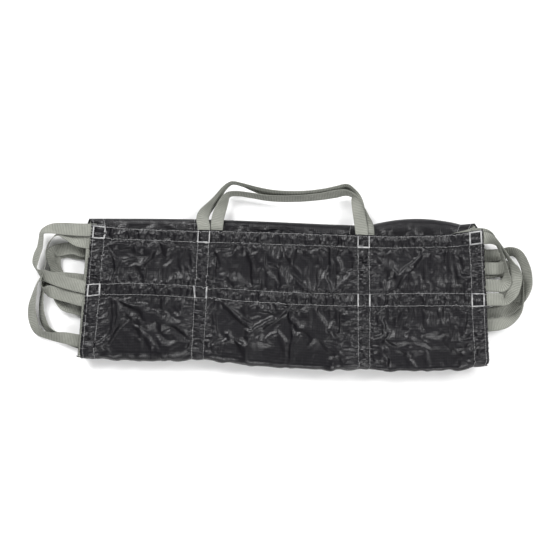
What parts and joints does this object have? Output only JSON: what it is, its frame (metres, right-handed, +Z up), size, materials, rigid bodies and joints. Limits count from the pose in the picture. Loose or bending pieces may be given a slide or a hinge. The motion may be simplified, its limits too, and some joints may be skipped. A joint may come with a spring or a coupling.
{
  "type": "rescue stretcher",
  "caption": "Soft rescue stretcher folded for carrying: a black nylon carrying sheet on a grid of grey webbing, with hand loops along both long edges and a carry handle at each end.",
  "frame": {"origin": "centre of the folded stretcher's bottom face, halfway between its two folded long sides", "axes": "+X across the sheet towards the right-hand loops, +Y towards the end hems and carry handles, +Z up"},
  "size_m": [1.188, 0.428, 0.0476],
  "materials": {
    "nylon": "satin",
    "webbing": "matte",
    "thread": "matte"
  },
  "bodies": {
    "folded_third": {"fabric_panel_3": "nylon", "length_webbing_3": "webbing", "cross_webbing_3": "webbing", "box_stitches_3": "thread", "fabric_panel_4": "nylon", "length_webbing_4": "webbing", "cross_webbing_4": "webbing", "box_stitches_4": "thread", "fold_band_3": "nylon", "fold_webbing_3": "webbing", "fold_band_2": "nylon", "fold_webbing_2": "webbing", "fold_band_4": "nylon", "fold_webbing_4": "webbing"},
    "panel_2": {"fabric_panel_2": "nylon", "length_webbing_2": "webbing", "cross_webbing_2": "webbing", "box_stitches_2": "thread", "fold_band_1": "nylon", "fold_webbing_1": "webbing"},
    "panel_5": {"fabric_panel_5": "nylon", "length_webbing_5": "webbing", "cross_webbing_5": "webbing", "box_stitches_5": "thread", "fold_band_5": "nylon", "fold_webbing_5": "webbing"},
    "panel_1": {"fabric_panel_1": "nylon", "length_webbing_1": "webbing", "cross_webbing_1": "webbing", "box_stitches_1": "thread"},
    "panel_6": {"fabric_panel_6": "nylon", "length_webbing_6": "webbing", "cross_webbing_6": "webbing", "box_stitches_6": "thread"},
    "left_loop_1_strap": {"left_loop_1": "webbing"},
    "right_loop_1_strap": {"right_loop_1": "webbing"},
    "left_loop_2_strap": {"left_loop_2": "webbing"},
    "right_loop_2_strap": {"right_loop_2": "webbing"},
    "left_loop_3_strap": {"left_loop_3": "webbing"},
    "right_loop_3_strap": {"right_loop_3": "webbing"},
    "left_loop_4_strap": {"left_loop_4": "webbing"},
    "right_loop_4_strap": {"right_loop_4": "webbing"},
    "left_loop_5_strap": {"left_loop_5": "webbing"},
    "right_loop_5_strap": {"right_loop_5": "webbing"},
    "left_loop_6_strap": {"left_loop_6": "webbing"},
    "right_loop_6_strap": {"right_loop_6": "webbing"},
    "end_loop_1_strap": {"end_loop_1": "webbing"},
    "end_loop_6_strap": {"end_loop_6": "webbing"}
  },
  "joints": [
    {"name": "sheet_unfold", "type": "hinge", "parent": "folded_third", "child": "panel_2", "pos_m": [0, 0.1567, 0.0158], "axis": [-1, 0, 0], "range_deg": [0, 180], "deforming": ["fold_band_2", "fold_webbing_2"]},
    {"name": "fold_4_turn", "type": "hinge", "parent": "folded_third", "child": "panel_5", "pos_m": [0, 0.1567, 0.0158], "axis": [-1, 0, 0], "range_deg": [0, 180], "deforming": ["fold_band_4", "fold_webbing_4"]},
    {"name": "fold_1_turn", "type": "hinge", "parent": "panel_2", "child": "panel_1", "pos_m": [0, -0.1567, 0.0318], "axis": [1, 0, 0], "range_deg": [0, 180], "deforming": ["fold_band_1", "fold_webbing_1"]},
    {"name": "fold_5_turn", "type": "hinge", "parent": "panel_5", "child": "panel_6", "pos_m": [0, -0.1567, 0.0318], "axis": [1, 0, 0], "range_deg": [0, 180], "deforming": ["fold_band_5", "fold_webbing_5"]},
    {"name": "left_loops_lift", "type": "hinge", "parent": "panel_6", "child": "left_loop_6_strap", "pos_m": [-0.476, 0.057, 0.0424], "axis": [0, -1, 0], "range_deg": [-105, 0]},
    {"name": "left_loop_1_lift", "type": "hinge", "parent": "panel_1", "child": "left_loop_1_strap", "pos_m": [-0.476, 0.057, 0.0372], "axis": [0, -1, 0], "range_deg": [-65.1, 0]},
    {"name": "left_loop_2_lift", "type": "hinge", "parent": "panel_2", "child": "left_loop_2_strap", "pos_m": [-0.476, -0.04, 0.0264], "axis": [0, -1, 0], "range_deg": [-52.5, 0]},
    {"name": "left_loop_5_lift", "type": "hinge", "parent": "panel_5", "child": "left_loop_5_strap", "pos_m": [-0.476, -0.04, 0.0212], "axis": [0, -1, 0], "range_deg": [-42, 0]},
    {"name": "left_loop_4_lift", "type": "hinge", "parent": "folded_third", "child": "left_loop_4_strap", "pos_m": [-0.476, 0.011, 0.0104], "axis": [0, -1, 0], "range_deg": [-31.5, 0]},
    {"name": "left_loop_3_lift", "type": "hinge", "parent": "folded_third", "child": "left_loop_3_strap", "pos_m": [-0.476, 0.011, 0.0052], "axis": [0, -1, 0], "range_deg": [-21, 0]},
    {"name": "right_loops_lift", "type": "hinge", "parent": "panel_6", "child": "right_loop_6_strap", "pos_m": [0.476, 0.057, 0.0424], "axis": [0, 1, 0], "range_deg": [-105, 0]},
    {"name": "right_loop_1_lift", "type": "hinge", "parent": "panel_1", "child": "right_loop_1_strap", "pos_m": [0.476, 0.057, 0.0372], "axis": [0, 1, 0], "range_deg": [-65.1, 0]},
    {"name": "right_loop_2_lift", "type": "hinge", "parent": "panel_2", "child": "right_loop_2_strap", "pos_m": [0.476, -0.04, 0.0264], "axis": [0, 1, 0], "range_deg": [-52.5, 0]},
    {"name": "right_loop_5_lift", "type": "hinge", "parent": "panel_5", "child": "right_loop_5_strap", "pos_m": [0.476, -0.04, 0.0212], "axis": [0, 1, 0], "range_deg": [-42, 0]},
    {"name": "right_loop_4_lift", "type": "hinge", "parent": "folded_third", "child": "right_loop_4_strap", "pos_m": [0.476, 0.011, 0.0104], "axis": [0, 1, 0], "range_deg": [-31.5, 0]},
    {"name": "right_loop_3_lift", "type": "hinge", "parent": "folded_third", "child": "right_loop_3_strap", "pos_m": [0.476, 0.011, 0.0052], "axis": [0, 1, 0], "range_deg": [-21, 0]},
    {"name": "end_loops_lift", "type": "hinge", "parent": "panel_6", "child": "end_loop_6_strap", "pos_m": [-0.0085, 0.1475, 0.0424], "axis": [-1, 0, 0], "range_deg": [-105, 0]},
    {"name": "end_loop_1_lift", "type": "hinge", "parent": "panel_1", "child": "end_loop_1_strap", "pos_m": [-0.0085, 0.1475, 0.0372], "axis": [-1, 0, 0], "range_deg": [-65.1, 0]}
  ],
  "couplings": [
    {"joint": "fold_4_turn", "follows": "sheet_unfold", "ratio": 1},
    {"joint": "fold_1_turn", "follows": "sheet_unfold", "ratio": 1},
    {"joint": "fold_5_turn", "follows": "sheet_unfold", "ratio": 1},
    {"joint": "left_loop_1_lift", "follows": "left_loops_lift", "ratio": 0.62},
    {"joint": "left_loop_2_lift", "follows": "left_loops_lift", "ratio": 0.5},
    {"joint": "left_loop_5_lift", "follows": "left_loops_lift", "ratio": 0.4},
    {"joint": "left_loop_4_lift", "follows": "left_loops_lift", "ratio": 0.3},
    {"joint": "left_loop_3_lift", "follows": "left_loops_lift", "ratio": 0.2},
    {"joint": "right_loop_1_lift", "follows": "right_loops_lift", "ratio": 0.62},
    {"joint": "right_loop_2_lift", "follows": "right_loops_lift", "ratio": 0.5},
    {"joint": "right_loop_5_lift", "follows": "right_loops_lift", "ratio": 0.4},
    {"joint": "right_loop_4_lift", "follows": "right_loops_lift", "ratio": 0.3},
    {"joint": "right_loop_3_lift", "follows": "right_loops_lift", "ratio": 0.2},
    {"joint": "end_loop_1_lift", "follows": "end_loops_lift", "ratio": 0.62}
  ]
}
